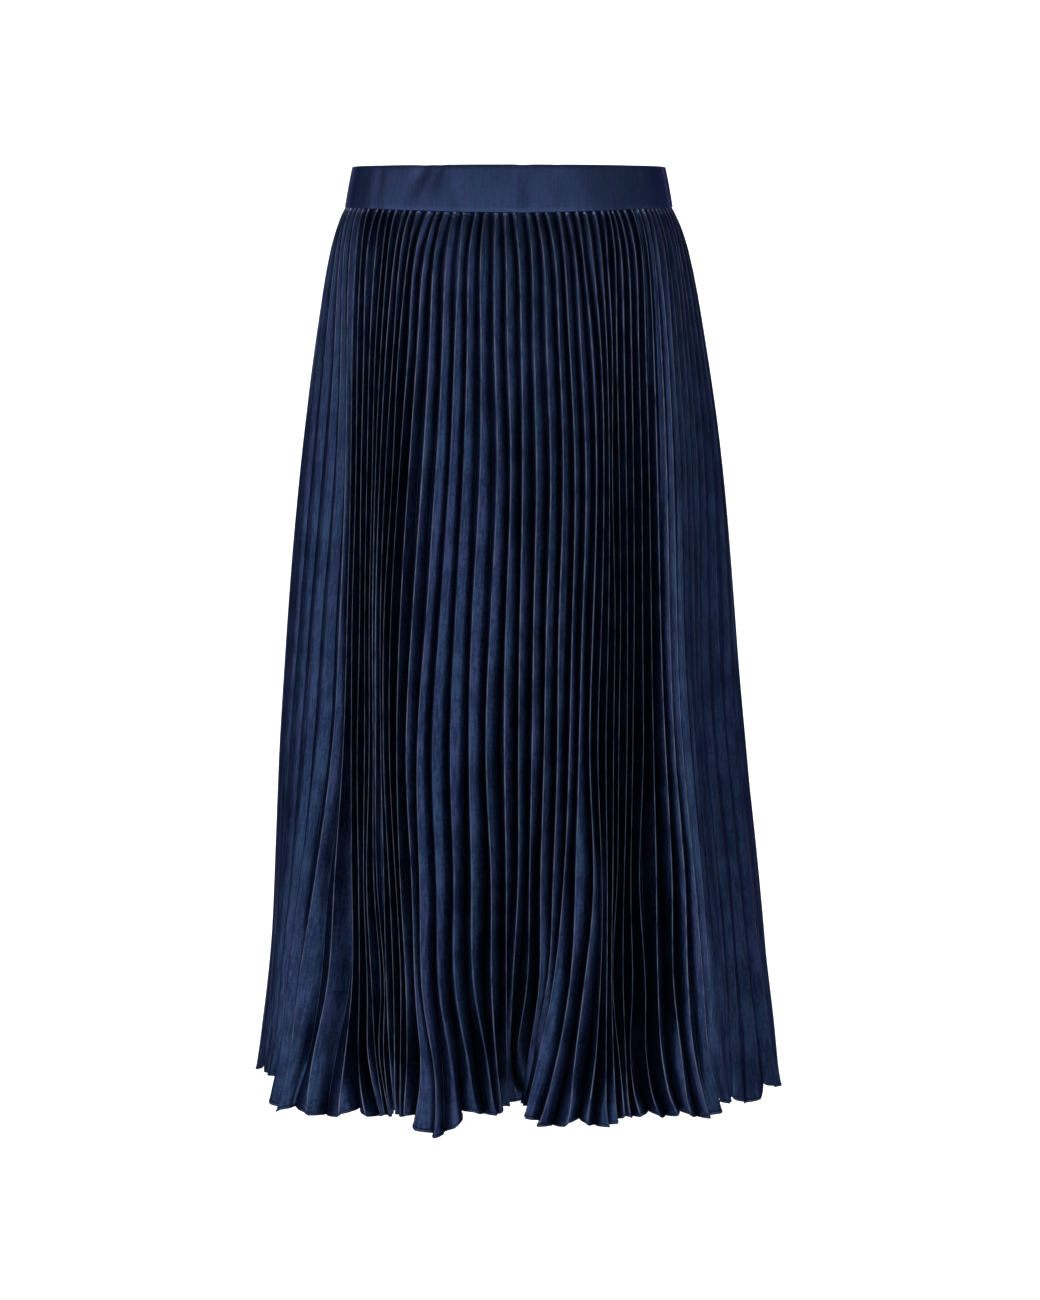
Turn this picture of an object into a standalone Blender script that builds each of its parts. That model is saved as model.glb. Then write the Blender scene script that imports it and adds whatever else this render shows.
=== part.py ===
"""A pleated midi skirt, filled out as it is worn, with no wearer inside.

Metres, +Z up. The skirt's front faces -Y, the wearer's right is -X and the wearer's left is +X.
The origin is the middle of the waistband's oval, at half the band's height at the side seams.
"""

import bpy
import numpy as np

MM = 0.001

# Cloth
PLEATS = 112                  # sharp knife-edged pleats right round, half of them in each panel
FACE_WIDTH_TOP = 5.5 * MM     # width of one pleat face where it enters the waistband
FACE_WIDTH_HEM = 15.0 * MM    # the faces fan out evenly to this width at the hem
WALL = 1.1 * MM               # pleated cloth
SEAM_GAP = 0.3 * MM           # between pieces that are sewn together
LONGEST_MITRE = 2.8 * MM      # how far a fold's corner may stand off the middle of the wall
DEEPEST = 0.80                # depth of a closed pleat, as a share of its face width
SHALLOWEST = 0.28             # depth of a pulled-out pleat, as a share of its face width
CROWDING = 0.55               # most depth of a pleat, as a share of the radius of the flute it lies on
PRESSED = 0.42                # share of the depth left where the band's stitching flattens the pleats
SPRING_LENGTH = 13.0 * MM     # drop over which the flattened pleats open to their full depth

# Skirt length and the tilt of the waist
HEM_LEVEL = -766.0 * MM       # height of the hem, before the folds' own extra length
SEAM_LEVEL = -17.4 * MM       # height of the waist seam at the side seams
FRONT_DIP = 0.155             # fall of the waist seam for each metre forward
SEAM_SAG = 5.1 * MM           # further fall at the middle of the front and back
SAG_REACH = 100.0 * MM        # distance from the side seams at which SEAM_SAG is reached
PUFF = 5.7 * MM               # how far the pleats spring out under the band
PUFF_DROP = 0.07              # share of the drop at which they stand out most

# Waistband
BAND_HEIGHT = 34.8 * MM       # at the side seams
BAND_THICKNESS = 2.2 * MM     # one folded strip with its stiffening
BAND_TAPER = 0.955            # the band's top oval over its bottom oval
BAND_SWELL = 0.8 * MM         # outward curve of the band's face
BAND_EDGE = 0.6 * MM          # rounding of the folded edges
BAND_STATIONS = 84            # sections round the band
WAIST_GIRTH = 760.0 * MM      # length of the band's outer face

# Concealed zip in the seam at the wearer's left
ZIP_WIDTH = 22.0 * MM
ZIP_THICKNESS = 1.0 * MM
ZIP_LENGTH = 190.0 * MM
ZIP_BELOW_EDGE = 5.0 * MM     # from the band's top edge to the top of the tape
ZIP_CLEARANCE = 0.5 * MM       # off the smooth form; the flat facets leave about half of it
ZIP_ROWS = 12
ZIP_PLEATS = 2.4              # pleats of the waist seam that half the tape's width lies behind
ZIP_REACH = 17.6 * MM         # pleats within this of the seam, to front and back, may touch the tape

SEAM_PLEAT = 56.75            # the left side seam, in the middle of a pleat face

# Levels of the fold table, as shares of the drop from the waist seam to the hem
ACROSS_LEVELS = (0.0, 0.24, 0.58, 0.87, 1.0)
FORWARD_LEVELS = (0.0, 0.58, 0.87, 1.0)

# Levels of the rings that the panels are built through, closer where the folds bend
RING_LEVELS = (0.0, 0.018, 0.055, 0.13, 0.24, 0.36, 0.48, 0.59, 0.69, 0.78, 0.86, 0.935, 1.0)

# The line of pleat crests, in mm. Pleat 1 is the first of the front at the wearer's right seam,
# and 57 the first of the back at the wearer's left seam. The last number is how much longer the
# pleats hang there than HEM_LEVEL.
#    name                 pleat  across at waist, hip, knee, calf, hem  forward at waist, knee, calf, hem
FOLDS = (
    ("right side seam",      0.5, (-141, -172, -193, -206, -215), (0, -2, -8, -20), -4),
    ("right side",           5.0, (-139, -166, -187, -199, -208), (25, 45, 45, 45), -3),
    ("right flute, side",    8.0, (-132, -141, -158, -183, -194), (43, 79, 88, 98), 3),
    ("right flute, front",   9.0, (-128, -135, -145, -173, -187), (48, 87, 103, 118), 7),
    ("right bunch, start",  11.0, (-117, -125, -129, -130, -140), (60, 106, 134, 146), 8),
    ("right bunch",         12.0, (-111, -120, -123, -122, -123), (65, 112, 141, 153), 6),
    ("right front, start",  21.0, (-54, -68, -82, -75, -66), (94, 143, 171, 201), 9),
    ("right front flute",   22.0, (-46, -56, -72, -66, -52), (97, 148, 178, 211), 10),
    ("right front, edge",   24.0, (-28, -35, -45, -39, -24), (101, 159, 180, 187), 0),
    ("right of middle",     26.0, (-13, -10, -16, -11, -6), (102, 167, 174, 171), 2),
    ("middle recess",       29.0, (15, 21, 20, 12, 5), (103, 167, 156, 132), 0),
    ("recess, left wall",   30.0, (24, 32, 29, 21, 13), (102, 166, 156, 139), 0),
    ("left front, start",   32.0, (40, 52, 48, 35, 14), (100, 163, 168, 170), 2),
    ("left front flute",    35.0, (63, 76, 73, 72, 58), (93, 153, 181, 206), 6),
    ("left bunch, start",   37.0, (76, 84, 85, 82, 84), (87, 143, 174, 200), 3),
    ("left bunch",          40.0, (92, 101, 102, 98, 100), (78, 129, 163, 185), 2),
    ("left front",          45.0, (117, 133, 142, 157, 165), (58, 107, 144, 151), 2),
    ("left flute",          50.0, (134, 160, 169, 187, 195), (33, 66, 92, 83), 4),
    ("left side",           52.0, (138, 172, 191, 211, 223), (22, 38, 58, 50), 1),
    ("left side seam",      56.5, (140, 174, 200, 220, 228), (0, -1, -7, -12), -2),
    ("back, left side",     61.0, (137, 171, 198, 219, 230), (-24, -36, -41, -44), 0),
    ("back, left hollow",   66.0, (125, 157, 176, 188, 194), (-49, -73, -77, -79), 2),
    ("back, left flute",    71.0, (103, 131, 155, 177, 190), (-70, -110, -126, -134), 4),
    ("back, left bunch",    76.0, (72, 85, 94, 101, 104), (-87, -131, -139, -140), 1),
    ("back, left middle",   80.0, (41, 47, 52, 58, 61), (-95, -150, -169, -178), 0),
    ("back, middle flute",  84.0, (8, 14, 20, 27, 30), (-98, -158, -183, -197), 5),
    ("back, middle hollow", 88.0, (-26, -26, -26, -23, -22), (-97, -145, -154, -155), 1),
    ("back, right middle",  93.0, (-66, -77, -87, -94, -100), (-89, -144, -167, -178), 4),
    ("back, right bunch",   98.0, (-100, -120, -132, -134, -136), (-71, -109, -115, -115), 0),
    ("back, right flute",  103.0, (-125, -151, -172, -187, -199), (-48, -85, -97, -104), 3),
    ("back, right side",   108.0, (-138, -167, -184, -190, -196), (-22, -47, -52, -53), 0),
)


def through(knots, values, at):
    """A smooth cubic through values at knots, each slope the distance-weighted mean of the two beside it."""
    knots = np.asarray(knots, float)
    values = np.asarray(values, float)
    step = np.diff(knots)[:, None]
    rise = np.diff(values, axis=0) / step
    inner = (rise[:-1] * step[1:] + rise[1:] * step[:-1]) / (step[1:] + step[:-1])
    slope = np.concatenate([rise[:1], inner, rise[-1:]])
    k = np.clip(np.searchsorted(knots, at, side="right") - 1, 0, len(knots) - 2)
    t = ((np.asarray(at, float) - knots[k]) / step[k, 0])[:, None]
    start = (1 + 2 * t) * (1 - t) ** 2 * values[k] + t * (1 - t) ** 2 * step[k] * slope[k]
    end = t * t * (3 - 2 * t) * values[k + 1] + t * t * (t - 1) * step[k] * slope[k + 1]
    return start + end


def fold_positions(level):
    """Across, forward and extra length of every fold in the table at one level, in metres."""
    across = np.array([fold[2] for fold in FOLDS], float).T
    forward = np.array([fold[3] for fold in FOLDS], float).T
    extra = np.array([fold[4] for fold in FOLDS], float)
    return MM * np.stack([
        through(ACROSS_LEVELS, across, [level])[0],
        through(FORWARD_LEVELS, forward, [level])[0],
        extra,
    ], axis=1)


def crest_line(pleats, level):
    """Across, forward and extra length of the crests' line at these pleat numbers, joined up right round."""
    number = np.array([fold[1] for fold in FOLDS])
    held = fold_positions(level)
    number = np.concatenate([number[-3:] - PLEATS, number, number[:3] + PLEATS])
    held = np.concatenate([held[-3:], held, held[:3]])
    line = through(number, held, np.mod(pleats, PLEATS))
    away = line[:, :2] / np.linalg.norm(line[:, :2], axis=1, keepdims=True)
    puff = PUFF * (level / PUFF_DROP) * np.exp(1 - level / PUFF_DROP)
    line[:, :2] += away * puff
    return line


def waist_seam_height(forward):
    """Height of the seam between band and pleats: tilted down to the front, and a little bowed."""
    return SEAM_LEVEL - FRONT_DIP * forward - SEAM_SAG * (forward / SAG_REACH) ** 2


def pleat_ring(level):
    """The folded cloth's middle line at one level: crest 1, the valley after it, crest 2 and so on."""
    numbers = np.arange(1, PLEATS + 1)
    crest = crest_line(numbers, level)
    between = crest_line(numbers + 0.5, level)
    along = np.roll(crest, -1, axis=0)[:, :2] - crest[:, :2]
    pitch = np.linalg.norm(along, axis=1)
    face = FACE_WIDTH_TOP + (FACE_WIDTH_HEM - FACE_WIDTH_TOP) * level
    depth = np.sqrt(np.clip(face ** 2 - (pitch / 2) ** 2, 0, None))
    depth = np.clip(depth, SHALLOWEST * face, DEEPEST * face)
    # Round the outside of a sharp flute the valleys crowd together, so they stay shallower there.
    heading = along / pitch[:, None]
    before = np.roll(heading, 1, axis=0)
    across = before[:, 1] * heading[:, 0] - before[:, 0] * heading[:, 1]
    turn = np.arctan2(across, (before * heading).sum(axis=1))
    radius = (np.roll(pitch, 1) + pitch) / 2 / np.maximum(turn, 0.01)
    depth = np.minimum(depth, CROWDING * np.minimum(radius, np.roll(radius, -1)))
    drop = level * (SEAM_LEVEL - HEM_LEVEL)
    opened = min(1.0, drop / SPRING_LENGTH)
    depth *= PRESSED + (1 - PRESSED) * opened * opened * (3 - 2 * opened)
    # Forward is -Y, so the line runs anticlockwise from above and its left-hand side is inside.
    inward = np.stack([heading[:, 1], -heading[:, 0]], axis=1)
    valley = between.copy()
    valley[:, :2] += inward * depth[:, None]
    line = np.stack([crest, valley], axis=1).reshape(-1, 3)
    top = waist_seam_height(crest_line(np.arange(2 * PLEATS) / 2 + 1, 0.0)[:, 1]) - SEAM_GAP
    foot = HEM_LEVEL - line[:, 2]
    return np.stack([line[:, 0], -line[:, 1], top + level * (foot - top)], axis=1)


def mitres(line):
    """For each point of a closed plan line, the outward step that keeps a wall even at its corners.

    The step is for a wall of half width 1, and LONGEST_MITRE cuts it short at a very sharp fold.
    """
    ahead = np.roll(line, -1, axis=0) - line
    ahead /= np.linalg.norm(ahead, axis=1, keepdims=True)
    outward = np.stack([ahead[:, 1], -ahead[:, 0]], axis=1)
    before = np.roll(outward, 1, axis=0)
    total = before + outward
    step = 2 * total / (total ** 2).sum(axis=1, keepdims=True)
    longest = 2 * LONGEST_MITRE / WALL
    size = np.linalg.norm(step, axis=1, keepdims=True)
    return step * np.minimum(1, longest / size)


def panel_lines(first, last):
    """Outer and inner surface of the panel from pleat first to pleat last, as rings of points.

    Each side seam lies in the middle of a pleat face, half a gap short of it at both panels.
    """
    outer = []
    inner = []
    for level in RING_LEVELS:
        line = pleat_ring(level)
        step = mitres(line[:, :2]) * WALL / 2
        out = line.copy()
        out[:, :2] += step
        into = line.copy()
        into[:, :2] -= step
        # Two points stand for each pleat, so crest n is point 2(n - 1). A seam is halfway down a face.
        wanted = np.arange(2 * (first - 1), 2 * last) % (2 * PLEATS)
        for points, lines in ((out, outer), (into, inner)):
            here = points[wanted]
            start = seam_point(points[wanted[0] - 1], points[wanted[0]])
            following = (wanted[-1] + 1) % (2 * PLEATS)
            end = seam_point(points[following], points[wanted[-1]])
            lines.append(np.concatenate([[start], here, [end]]))
    return np.array(outer), np.array(inner)


def seam_point(far, near):
    """The point halfway from near to far, held back towards near by half the seam gap."""
    reach = far - near
    length = np.linalg.norm(reach)
    return near + reach * (0.5 - SEAM_GAP / 2 / length)


def material(name, colour, roughness):
    made = bpy.data.materials.new(name)
    made.use_nodes = True
    shader = made.node_tree.nodes["Principled BSDF"]
    shader.inputs["Base Color"].default_value = (*colour, 1)
    shader.inputs["Roughness"].default_value = roughness
    shader.inputs["Metallic"].default_value = 0
    return made


def add_solid(name, points, faces, look):
    mesh = bpy.data.meshes.new(name)
    mesh.from_pydata(points.tolist(), [], [list(map(int, face)) for face in faces])
    mesh.validate()
    mesh.materials.append(look)
    made = bpy.data.objects.new(name, mesh)
    skirt.objects.link(made)
    return made


def wall_between(name, outer, inner, look):
    """A closed wall between two surfaces of the same grid: rows from the top down, columns anticlockwise."""
    rows, columns = outer.shape[:2]
    points = np.concatenate([outer.reshape(-1, 3), inner.reshape(-1, 3)])
    grid = np.arange(rows * columns).reshape(rows, columns)
    back = grid + rows * columns

    def quads(a, b, c, d):
        return np.stack([a.ravel(), b.ravel(), c.ravel(), d.ravel()], axis=1)

    faces = np.concatenate([
        quads(grid[1:, :-1], grid[1:, 1:], grid[:-1, 1:], grid[:-1, :-1]),
        quads(back[:-1, :-1], back[:-1, 1:], back[1:, 1:], back[1:, :-1]),
        quads(grid[0, :-1], grid[0, 1:], back[0, 1:], back[0, :-1]),
        quads(back[-1, :-1], back[-1, 1:], grid[-1, 1:], grid[-1, :-1]),
        quads(back[:-1, 0], back[1:, 0], grid[1:, 0], grid[:-1, 0]),
        quads(grid[:-1, -1], grid[1:, -1], back[1:, -1], back[:-1, -1]),
    ])
    return add_solid(name, points, faces, look)


def band_surface(pleats, height, inset):
    """Points of the band at these pleat numbers, inset from its outer face.

    Height runs from 0 at the waist seam to 1 at the band's top edge.
    """
    oval = crest_line(pleats, 0.0)[:, :2]
    seam = waist_seam_height(oval[:, 1])
    top = SEAM_LEVEL + BAND_HEIGHT - FRONT_DIP * oval[:, 1] * BAND_TAPER
    taper = 1 + (BAND_TAPER - 1) * height
    away = oval / np.linalg.norm(oval, axis=1, keepdims=True)
    swell = BAND_SWELL * np.sin(np.pi * height) - inset
    plan = oval * taper + away * swell
    return np.stack([plan[:, 0], -plan[:, 1], seam + (top - seam) * height], axis=1)


def add_waistband():
    """The folded strip, its two ends meeting at the wearer's left side seam."""
    end = SEAM_GAP / 2 / WAIST_GIRTH * PLEATS
    pleats = np.linspace(SEAM_PLEAT + end, SEAM_PLEAT + PLEATS - end, BAND_STATIONS + 1)
    edge = BAND_EDGE / BAND_HEIGHT
    # The section, from the seam up the outer face, over the fold and down the inner face.
    section = (
        (edge * 0.2, BAND_EDGE),
        (edge * 1.2, 0.0),
        (0.5, 0.0),
        (1 - edge * 1.2, 0.0),
        (1.0, BAND_EDGE),
        (1.0, BAND_THICKNESS - BAND_EDGE),
        (1 - edge * 1.2, BAND_THICKNESS),
        (0.5, BAND_THICKNESS),
        (edge * 1.2, BAND_THICKNESS),
        (edge * 0.2, BAND_THICKNESS - BAND_EDGE),
    )
    loops = np.array([band_surface(pleats, height, inset) for height, inset in section])
    loops = loops.transpose(1, 0, 2)
    stations, corners = loops.shape[:2]
    index = np.arange(stations * corners).reshape(stations, corners)
    after = np.roll(index, -1, axis=1)
    sides = np.stack([index[:-1], index[1:], after[1:], after[:-1]], axis=-1).reshape(-1, 4)
    faces = list(sides) + [index[0], index[-1][::-1]]
    add_solid("waistband", loops.reshape(-1, 3), faces, band_cloth)


def room_behind(height):
    """How far out a flat tape behind the left seam can stand at this height, clear of band and pleats."""
    if height > SEAM_LEVEL:
        share = (height - SEAM_LEVEL) / BAND_HEIGHT
        behind = SEAM_PLEAT + np.array([-ZIP_PLEATS, 0.0, ZIP_PLEATS])
        near = band_surface(behind, share, BAND_THICKNESS)
    else:
        ring = pleat_ring((SEAM_LEVEL - height) / (SEAM_LEVEL - HEM_LEVEL))
        ring[:, :2] -= mitres(ring[:, :2]) * WALL / 2
        near = ring[(ring[:, 0] > 0) & (np.abs(ring[:, 1]) < ZIP_REACH)]
    return near[:, 0].min() - ZIP_CLEARANCE


def add_zip():
    """The closed concealed zip as one plain tape, inside the band and down behind the left seam."""
    top = SEAM_LEVEL + BAND_HEIGHT - ZIP_BELOW_EDGE
    heights = top - np.linspace(0, 1, ZIP_ROWS) * ZIP_LENGTH
    reach = ZIP_LENGTH / (ZIP_ROWS - 1)
    steps = np.linspace(-reach, reach, 9)
    room = [min(room_behind(min(height + step, top)) for step in steps) for height in heights]
    across = np.linspace(-ZIP_WIDTH / 2, ZIP_WIDTH / 2, 5)
    outer = np.empty((ZIP_ROWS, len(across), 3))
    outer[..., 0] = np.array(room)[:, None]
    outer[..., 1] = across[None, :]
    outer[..., 2] = heights[:, None]
    inner = outer.copy()
    inner[..., 0] -= ZIP_THICKNESS
    wall_between("side_zip", outer, inner, zip_tape)


for old in list(bpy.data.objects):
    bpy.data.objects.remove(old, do_unlink=True)

skirt = bpy.data.collections.new("pleated_skirt")
bpy.context.scene.collection.children.link(skirt)

pleated_cloth = material("pleated_satin", (0.012, 0.026, 0.095), 0.42)
band_cloth = material("band_satin", (0.014, 0.030, 0.100), 0.45)
zip_tape = material("zip_tape", (0.010, 0.020, 0.070), 0.70)

front_outer, front_inner = panel_lines(1, 56)
wall_between("skirt_front", front_outer, front_inner, pleated_cloth)
back_outer, back_inner = panel_lines(57, PLEATS)
wall_between("skirt_back", back_outer, back_inner, pleated_cloth)
add_waistband()
add_zip()
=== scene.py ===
"""The looks of a pleated midi skirt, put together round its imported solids.

Metres, +Z up. The front faces -Y, the wearer's right is -X and the wearer's left is +X.
"""

import bpy
import numpy as np
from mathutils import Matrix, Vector


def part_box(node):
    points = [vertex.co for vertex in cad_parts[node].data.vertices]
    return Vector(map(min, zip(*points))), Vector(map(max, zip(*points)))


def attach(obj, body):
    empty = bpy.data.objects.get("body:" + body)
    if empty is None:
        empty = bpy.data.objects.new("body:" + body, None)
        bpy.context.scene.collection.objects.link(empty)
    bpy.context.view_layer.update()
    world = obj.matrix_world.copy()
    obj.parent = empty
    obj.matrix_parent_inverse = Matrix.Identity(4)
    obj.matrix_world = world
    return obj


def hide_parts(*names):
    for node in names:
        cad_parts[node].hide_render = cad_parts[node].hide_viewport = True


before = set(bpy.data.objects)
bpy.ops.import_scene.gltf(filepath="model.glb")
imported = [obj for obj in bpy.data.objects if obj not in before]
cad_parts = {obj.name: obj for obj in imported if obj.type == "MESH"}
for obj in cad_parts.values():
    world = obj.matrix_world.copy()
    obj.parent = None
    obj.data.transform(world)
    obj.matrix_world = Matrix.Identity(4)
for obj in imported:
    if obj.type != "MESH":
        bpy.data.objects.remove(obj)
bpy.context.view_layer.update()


# -----------------------------------------------------------------------
# Pleated panels
#
# Two sectors of navy slub satin, front and back, each heat-set in 56 knife-edged pleats that fan
# out from waist to hem. They hang from the waist seam and are sewn together down both sides.
# -----------------------------------------------------------------------

MM = 0.001
PLEATS = 112                  # right round; the front has numbers 1 to 56
FACE_WIDTH_TOP = 5.5 * MM     # one pleat face at the waist seam
FACE_WIDTH_HEM = 15.0 * MM
DEEPEST = 1.0                 # most depth of a pleat, as a share of its face
SHALLOWEST = 0.75             # and the least
CROWDING = 0.70               # most depth, as a share of the radius of the flute it lies on
LEAST_TURN = 0.01             # least turn from crest to crest that makes a flute, in radians
PRESSED = 0.80                # share of the depth left at the band's stitching
SPRING_LENGTH = 6.0 * MM      # drop over which the flattened pleats open
DRAWN_IN = 0.9 * MM           # how far behind the band's face the pleats start
DRAWN_DROP = 0.006            # share of the drop in which they come out from there
HEM_LEVEL = -766.0 * MM
SEAM_LEVEL = -17.4 * MM       # waist seam at the sides
FRONT_DIP = 0.155             # fall of the waist seam for each metre forward
SEAM_SAG = 5.1 * MM           # bow of the waist seam at SAG_REACH forward or back
SAG_REACH = 100.0 * MM
PUFF = 5.7 * MM               # spring of the pleats under the band
PUFF_DROP = 0.07              # share of the drop where it is fullest
CLOTH = 0.35 * MM             # thickness of the satin
TUCKED = 1.6 * MM             # how far the pleats run up inside the band
SEAM_PLEAT = 56.75            # the left side seam; the right one is half of the pleats away

ACROSS_LEVELS = (0.0, 0.24, 0.58, 0.87, 1.0)
FORWARD_LEVELS = (0.0, 0.58, 0.87, 1.0)

# The line of pleat crests in mm: pleat number, across at ACROSS_LEVELS and forward at
# FORWARD_LEVELS, which are shares of the drop, and how much lower the hem hangs there.
FOLDS = (
    ("right side seam",      0.5, (-141, -172, -193, -206, -215), (0, -2, -8, -20), -4),
    ("right side",           5.0, (-139, -166, -187, -199, -208), (25, 45, 45, 45), -3),
    ("right flute, side",    8.0, (-132, -141, -158, -183, -194), (43, 79, 88, 98), 3),
    ("right flute, front",   9.0, (-128, -135, -145, -173, -187), (48, 87, 103, 118), 7),
    ("right bunch, start",  11.0, (-117, -125, -129, -130, -140), (60, 106, 134, 146), 8),
    ("right bunch",         12.0, (-111, -120, -123, -122, -123), (65, 112, 141, 153), 6),
    ("right front, start",  21.0, (-54, -68, -82, -75, -66), (94, 143, 171, 201), 9),
    ("right front flute",   22.0, (-46, -56, -72, -66, -52), (97, 148, 178, 211), 10),
    ("right front, edge",   24.0, (-28, -35, -45, -39, -24), (101, 159, 180, 187), 0),
    ("right of middle",     26.0, (-13, -10, -16, -11, -6), (102, 167, 174, 171), 2),
    ("middle recess",       29.0, (15, 21, 20, 12, 5), (103, 167, 156, 132), 0),
    ("recess, left wall",   30.0, (24, 32, 29, 21, 13), (102, 166, 156, 143), 0),
    ("left front, start",   32.0, (40, 52, 48, 35, 14), (100, 163, 170, 188), 2),
    ("left front flute",    35.0, (63, 76, 73, 72, 58), (93, 153, 181, 206), 6),
    ("left bunch, start",   37.0, (76, 84, 85, 82, 84), (87, 143, 174, 200), 3),
    ("left bunch",          40.0, (92, 101, 102, 98, 100), (78, 129, 163, 185), 2),
    ("left front",          45.0, (117, 133, 142, 157, 165), (58, 107, 144, 151), 2),
    ("left flute",          50.0, (134, 160, 169, 187, 195), (33, 66, 92, 83), 4),
    ("left side",           52.0, (138, 172, 191, 211, 223), (22, 38, 58, 50), 1),
    ("left side seam",      56.5, (140, 174, 200, 220, 228), (0, -1, -7, -12), -2),
    ("back, left side",     61.0, (137, 171, 198, 219, 230), (-24, -36, -41, -44), 0),
    ("back, left hollow",   66.0, (125, 157, 176, 188, 194), (-49, -73, -77, -79), 2),
    ("back, left flute",    71.0, (103, 131, 155, 177, 190), (-70, -110, -126, -134), 4),
    ("back, left bunch",    76.0, (72, 85, 94, 101, 104), (-87, -131, -139, -140), 1),
    ("back, left middle",   80.0, (41, 47, 52, 58, 61), (-95, -150, -169, -178), 0),
    ("back, middle flute",  84.0, (8, 14, 20, 27, 30), (-98, -158, -183, -197), 5),
    ("back, middle hollow", 88.0, (-26, -26, -26, -23, -22), (-97, -145, -154, -155), 1),
    ("back, right middle",  93.0, (-66, -77, -87, -94, -100), (-89, -144, -167, -178), 4),
    ("back, right bunch",   98.0, (-100, -120, -132, -134, -136), (-71, -109, -115, -115), 0),
    ("back, right flute",  103.0, (-125, -151, -172, -187, -199), (-48, -85, -97, -104), 3),
    ("back, right side",   108.0, (-138, -167, -184, -190, -196), (-22, -47, -52, -53), 0),
)


def unit(vectors):
    """These vectors, each divided by its length."""
    return vectors / np.linalg.norm(vectors, axis=-1, keepdims=True)


def through(knots, values, at):
    """A smooth cubic through values at knots: each slope is the distance-weighted mean beside it."""
    knots = np.asarray(knots, float)
    values = np.asarray(values, float)
    at = np.asarray(at, float)
    flat = (-1,) + (1,) * (values.ndim - 1)
    step = np.diff(knots).reshape(flat)
    rise = np.diff(values, axis=0) / step
    inner = (rise[:-1] * step[1:] + rise[1:] * step[:-1]) / (step[1:] + step[:-1])
    slope = np.concatenate([rise[:1], inner, rise[-1:]])
    k = np.clip(np.searchsorted(knots, at, side="right") - 1, 0, len(knots) - 2)
    t = ((at - knots[k]) / np.diff(knots)[k]).reshape(flat)
    start = (1 + 2 * t) * (1 - t) ** 2 * values[k] + t * (1 - t) ** 2 * step[k] * slope[k]
    end = t * t * (3 - 2 * t) * values[k + 1] + t * t * (t - 1) * step[k] * slope[k + 1]
    return start + end


def right_round(numbers, values, at):
    """The same for values at these pleat numbers, where the last is followed by the first."""
    numbers, values = np.array(numbers), np.array(values, float)
    numbers = np.concatenate([numbers[-3:] - PLEATS, numbers, numbers[:3] + PLEATS])
    return through(numbers, np.concatenate([values[-3:], values, values[:3]]), at)


def crest_line(pleats, levels):
    """Across, forward and extra length of the line of crests: pleats down the array, levels along it.

    The fold table is read at each level, then joined up right round, and the puff under the band,
    PUFF * x * exp(1 - x) with x the level over PUFF_DROP, is added straight outwards.
    """
    levels = np.asarray(levels, float)
    _, numbers, across, forward, extra = zip(*FOLDS)
    across = through(ACROSS_LEVELS, np.transpose(across), levels)
    forward = through(FORWARD_LEVELS, np.transpose(forward), levels)
    extra = np.broadcast_to(extra, across.shape)
    held = MM * np.stack([across, forward, extra], axis=2).transpose(1, 0, 2)
    line = right_round(numbers, held, np.mod(pleats, PLEATS))
    x = levels / PUFF_DROP
    line[..., :2] += unit(line[..., :2]) * (PUFF * x * np.exp(1 - x))[None, :, None]
    return line


def waist_seam_height(forward):
    """Height of the waist seam: tilted down to the front, and a little bowed."""
    return SEAM_LEVEL - FRONT_DIP * forward - SEAM_SAG * (forward / SAG_REACH) ** 2


# How the hang of the cloth differs from pleat to pleat
DRIFT_TOP = 1.0 * MM          # sideways wander of a crest that is added under the band
DRIFT_TOP_DROP = 0.10         # share of the drop in which that dies away
DRIFT_MIDDLE = 0.6 * MM       # wander half way down
DRIFT_HEM = 3.0 * MM          # wander at the hem
DRIFT_GROWTH = 2.5            # power of the level by which it grows from one to the other
DRIFT_OUT = 0.5               # wander in and out, over the wander sideways
DRIFT_KNOTS = (0.0, 0.05, 0.16, 0.3, 0.45, 0.6, 0.74, 0.86, 0.94, 1.0)
DEPTH_VARIES = 0.14           # share of a pleat's depth that comes and goes
LEAN_VARIES = 0.20            # and how far its lean does
BOW_TOP = 0.15 * MM           # how far a face bows out between its folds
BOW_HEM = 1.3 * MM
FOLD_RADIUS = 0.50 * MM       # length of face taken up by the turn of a pressed fold
VALLEY_RADIUS = 0.8 * MM
HEM_REACH = 0.09              # share of the drop over which the hem flicks and the folds relax
FLICK = 4.5 * MM              # sideways flick of the hem
KICK = 2.0 * MM               # outward kick of the hem
LOBE_KICK = 3.0 * MM          # outward kick of the middle of a lobe of the hem
CURL = 3.2 * MM               # sideways curl of a pleat's last few millimetres
CURL_REACH = 0.03             # share of the drop that curls

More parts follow.
